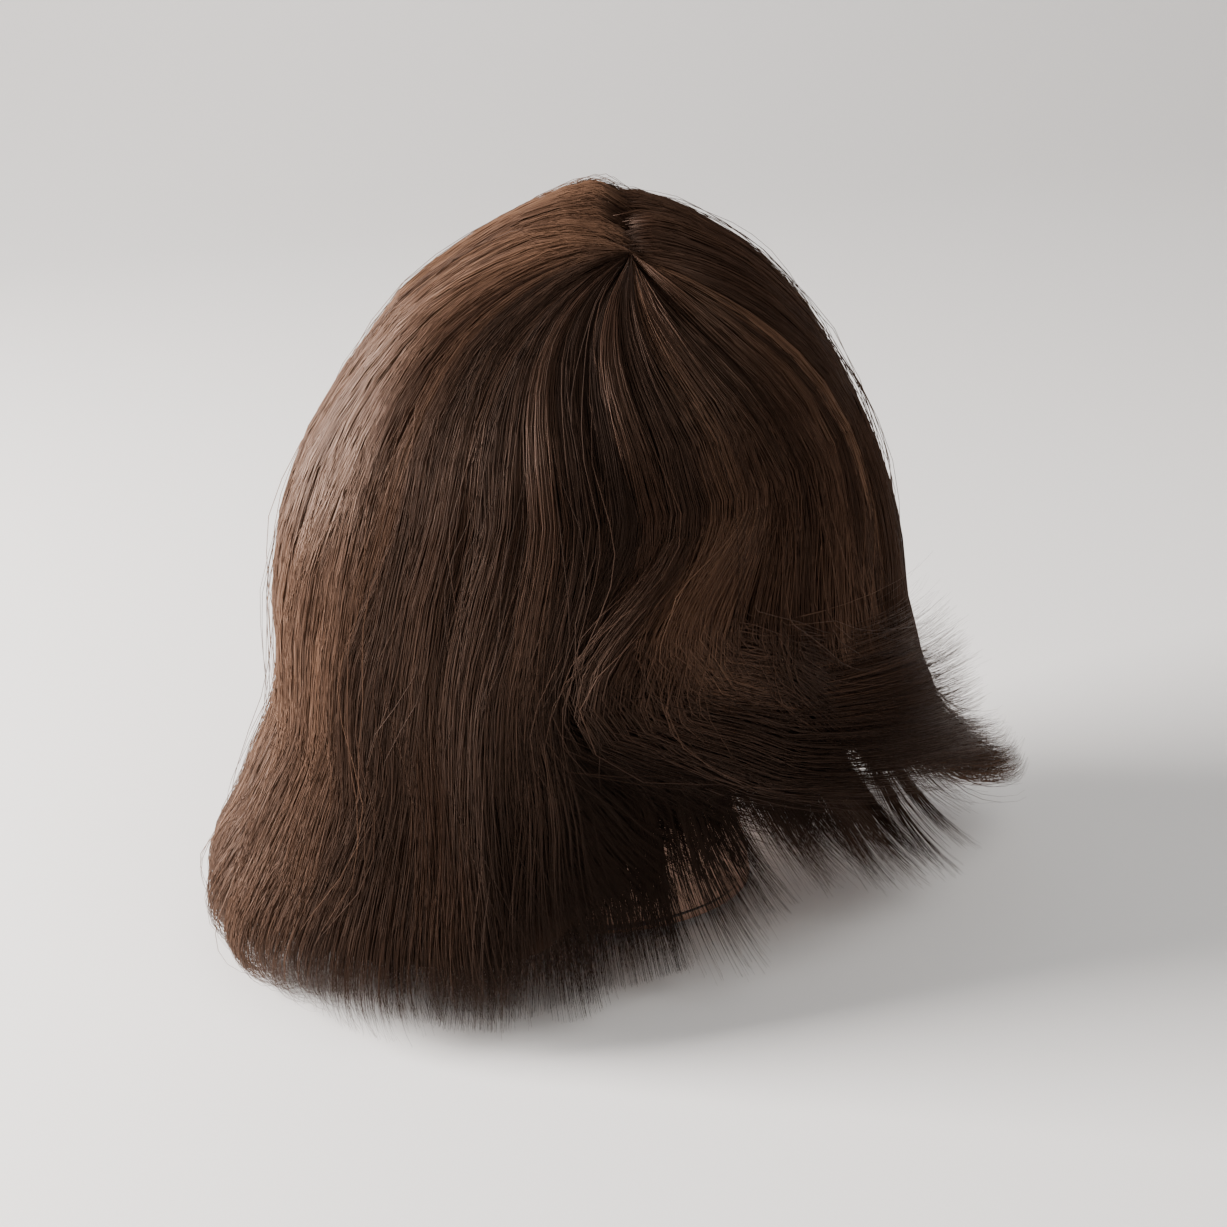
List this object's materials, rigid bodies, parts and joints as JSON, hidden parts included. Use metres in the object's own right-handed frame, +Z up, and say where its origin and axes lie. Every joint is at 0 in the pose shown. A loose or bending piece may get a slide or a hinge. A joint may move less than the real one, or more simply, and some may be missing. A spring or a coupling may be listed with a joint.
{
  "type": "mannequin training head",
  "caption": "Hairdressing training head with chin-to-shoulder dark brown rooted hair, a calm vinyl face and a clamp socket in the neck base.",
  "frame": {"origin": "centre of the socket's mouth on the base plane", "axes": "+Z up out of the crown, the face looks along -Y, the head's own left side is +X"},
  "size_m": [0.2897, 0.2352, 0.262],
  "materials": {
    "vinyl": "satin",
    "root_glue": "matte",
    "foam": "matte",
    "grey_plastic": "matte",
    "eye_acrylic": "gloss",
    "lash_hair": "matte",
    "hair": "satin"
  },
  "bodies": {
    "root": {"head_skin": "vinyl", "root_coat": "root_glue", "foam_core": "foam", "socket_sleeve": "grey_plastic", "base_plate": "grey_plastic", "eye_left": "eye_acrylic", "eye_right": "eye_acrylic", "lashes_left": "lash_hair", "lashes_right": "lash_hair", "brow_left": "lash_hair", "brow_right": "lash_hair", "hair_crown": "hair", "hair_top_left": "hair", "hair_top_right": "hair", "hair_side_left": "hair", "hair_side_right": "hair", "hair_back_left": "hair", "hair_back_centre": "hair", "hair_back_right": "hair", "hair_nape": "hair"}
  },
  "joints": []
}
